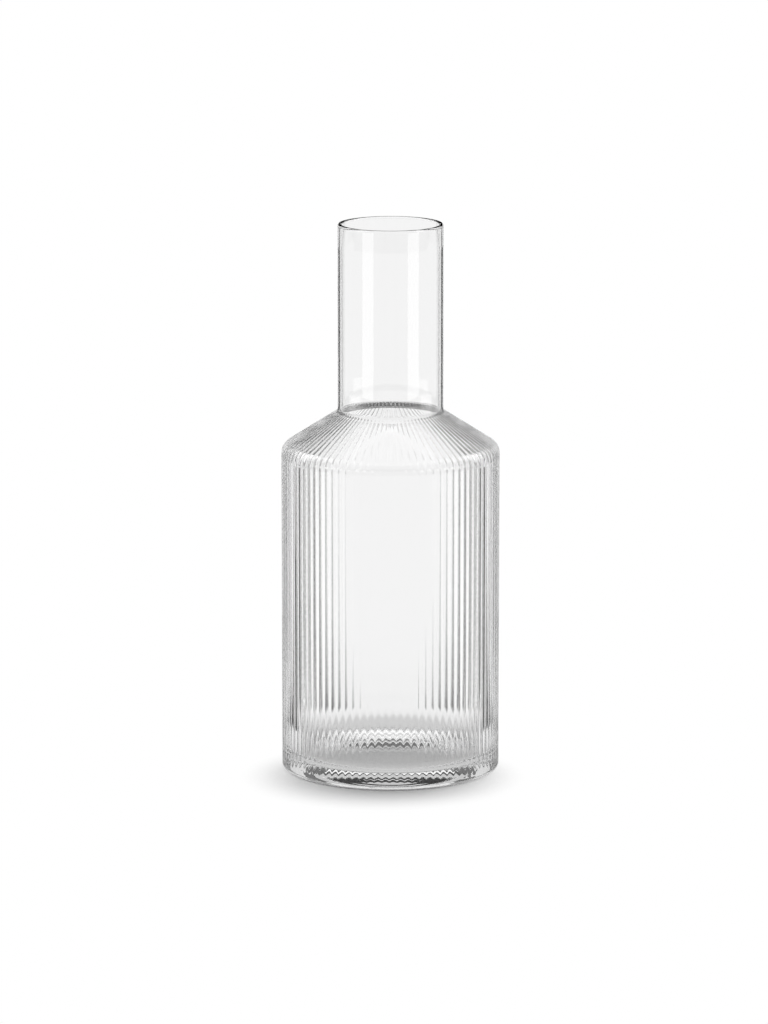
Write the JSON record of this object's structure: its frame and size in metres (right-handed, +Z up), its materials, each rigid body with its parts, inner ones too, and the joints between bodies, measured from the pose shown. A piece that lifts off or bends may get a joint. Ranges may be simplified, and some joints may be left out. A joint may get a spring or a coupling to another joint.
{
  "type": "glass carafe",
  "caption": "Clear glass table carafe with a smooth open neck, ribbed cone shoulder and straight ribbed body on a thick foot, for holding and pouring drinks.",
  "frame": {"origin": "centre of the foot's underside, on the surface that the carafe stands on", "axes": "+Z up along the axis of revolution, through the mouth; -Y towards the viewer of the picture"},
  "size_m": [0.09, 0.09, 0.2275],
  "materials": {
    "clear_glass": "clear and colourless, mould-blown with fine upright ribs, fire-polished rim"
  },
  "bodies": {
    "root": {"foot": "clear_glass", "ribbed_body": "clear_glass", "shoulder": "clear_glass", "neck": "clear_glass"}
  },
  "joints": []
}
